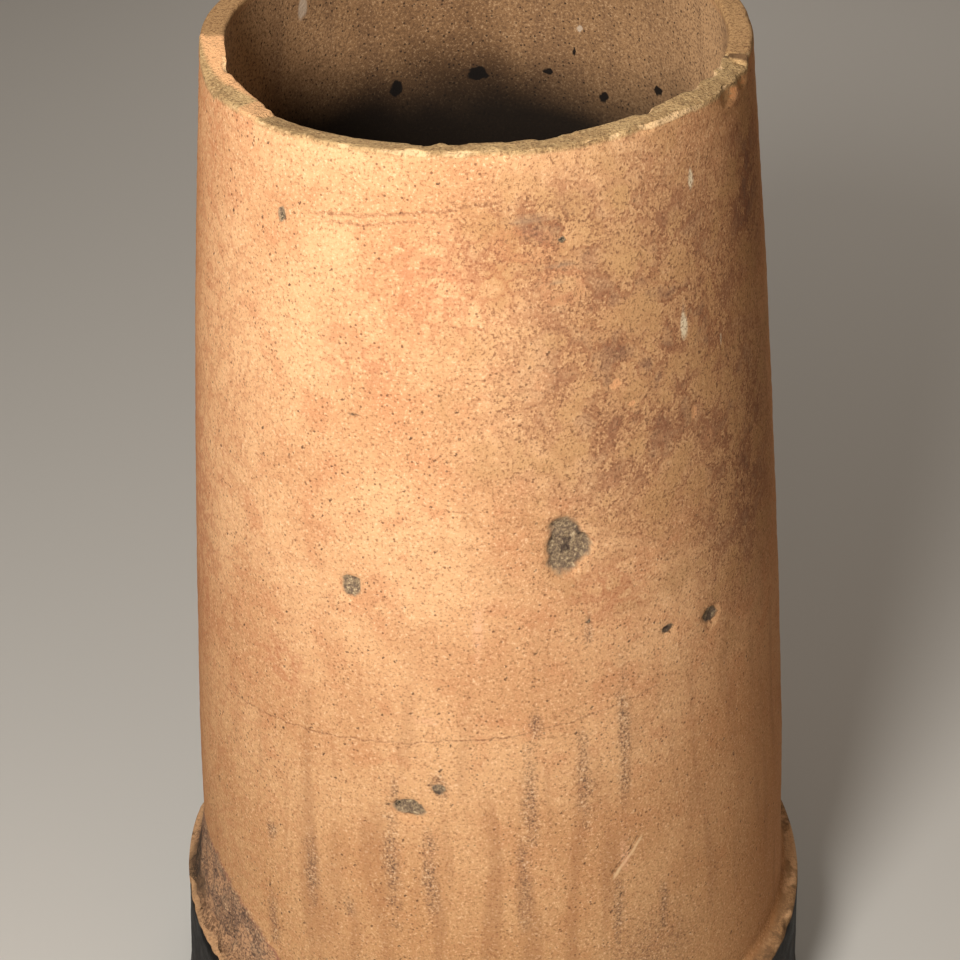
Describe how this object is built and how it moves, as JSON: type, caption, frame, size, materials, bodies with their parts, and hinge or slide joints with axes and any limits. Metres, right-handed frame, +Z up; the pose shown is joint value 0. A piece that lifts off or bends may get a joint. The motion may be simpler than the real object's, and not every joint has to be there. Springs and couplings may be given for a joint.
{
  "type": "chimney pot",
  "caption": "Tapered terracotta chimney pot on a wide base flange: a hollow flue with a broken rim, old mortar and a tarred foot.",
  "frame": {"origin": "centre of the underside of the base flange", "axes": "+Z up the flue, from the base flange to the rim; -Y towards the broken side of the rim; the tube leans towards -X"},
  "size_m": [0.418, 0.418, 0.6746],
  "materials": {
    "terracotta": "unglazed fired clay, weathered and sooty, with a tarred foot"
  },
  "bodies": {
    "root": {"chimney_pot": "terracotta"}
  },
  "joints": []
}
